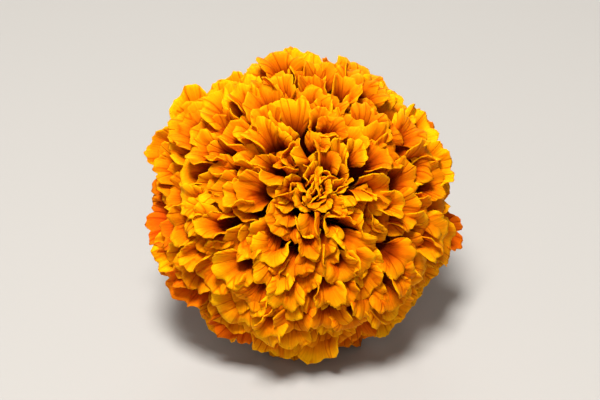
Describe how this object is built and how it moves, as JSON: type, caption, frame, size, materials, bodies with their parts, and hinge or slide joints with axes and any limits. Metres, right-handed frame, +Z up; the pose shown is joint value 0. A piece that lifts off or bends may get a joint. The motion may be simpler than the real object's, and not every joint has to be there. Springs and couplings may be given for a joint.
{
  "type": "marigold flower",
  "caption": "Fully double orange marigold flower head of ruffled petals in a green cup, picked with a short hollow stem and lying on its low petals and cut end.",
  "frame": {"origin": "on the surface the flower lies on, under the centre of its box", "axes": "+Z up; the flower faces -Y and up, with its axis 50 degrees from upright; the stem's cut end lies at +Y; +X is to the right, seen from the flower's face"},
  "size_m": [0.08, 0.0712, 0.0676],
  "materials": {
    "petal_orange": "velvety, orange with golden rims and a darker throat",
    "old_petal_orange": "velvety, older petals in a redder, darker orange",
    "cup_green": "satin green leaf tissue with ribs and dark oil glands",
    "stem_green": "satin ribbed green stem with a pale cut end",
    "pith_cream": "matte pale pith"
  },
  "bodies": {
    "root": {"stem": "stem_green", "involucre": "cup_green", "receptacle": "pith_cream", "ray_whorl_01": "petal_orange", "ray_whorl_02": "petal_orange", "ray_whorl_03": "petal_orange", "ray_whorl_04": "petal_orange", "ray_whorl_05": "petal_orange", "ray_whorl_06": "petal_orange", "ray_whorl_07": "petal_orange", "ray_whorl_08": "petal_orange", "ray_whorl_09": "petal_orange", "ray_whorl_10": "petal_orange", "ray_whorl_11": "petal_orange", "third_ray_01": "petal_orange", "third_ray_02": "petal_orange", "third_ray_03": "petal_orange", "third_ray_04": "petal_orange", "third_ray_05": "petal_orange", "third_ray_06": "petal_orange", "third_ray_07": "petal_orange", "third_ray_08": "petal_orange", "third_ray_09": "petal_orange", "third_ray_10": "petal_orange", "third_ray_11": "petal_orange", "third_ray_12": "petal_orange", "third_ray_13": "petal_orange", "third_ray_14": "petal_orange", "third_ray_15": "petal_orange", "second_ray_01": "petal_orange", "second_ray_02": "petal_orange", "second_ray_03": "petal_orange", "second_ray_04": "petal_orange", "second_ray_05": "petal_orange", "second_ray_06": "petal_orange", "second_ray_07": "petal_orange", "second_ray_08": "petal_orange", "second_ray_09": "petal_orange", "second_ray_10": "petal_orange", "second_ray_11": "petal_orange", "second_ray_12": "petal_orange", "second_ray_13": "petal_orange", "second_ray_14": "petal_orange", "second_ray_15": "petal_orange", "outer_ray_01": "old_petal_orange", "outer_ray_02": "old_petal_orange", "outer_ray_03": "old_petal_orange", "outer_ray_04": "old_petal_orange", "outer_ray_05": "old_petal_orange", "outer_ray_06": "old_petal_orange", "outer_ray_07": "old_petal_orange", "outer_ray_08": "old_petal_orange", "outer_ray_09": "old_petal_orange", "outer_ray_10": "old_petal_orange", "outer_ray_11": "old_petal_orange", "outer_ray_12": "old_petal_orange", "outer_ray_13": "old_petal_orange", "outer_ray_14": "old_petal_orange", "outer_ray_15": "old_petal_orange"}
  },
  "joints": []
}
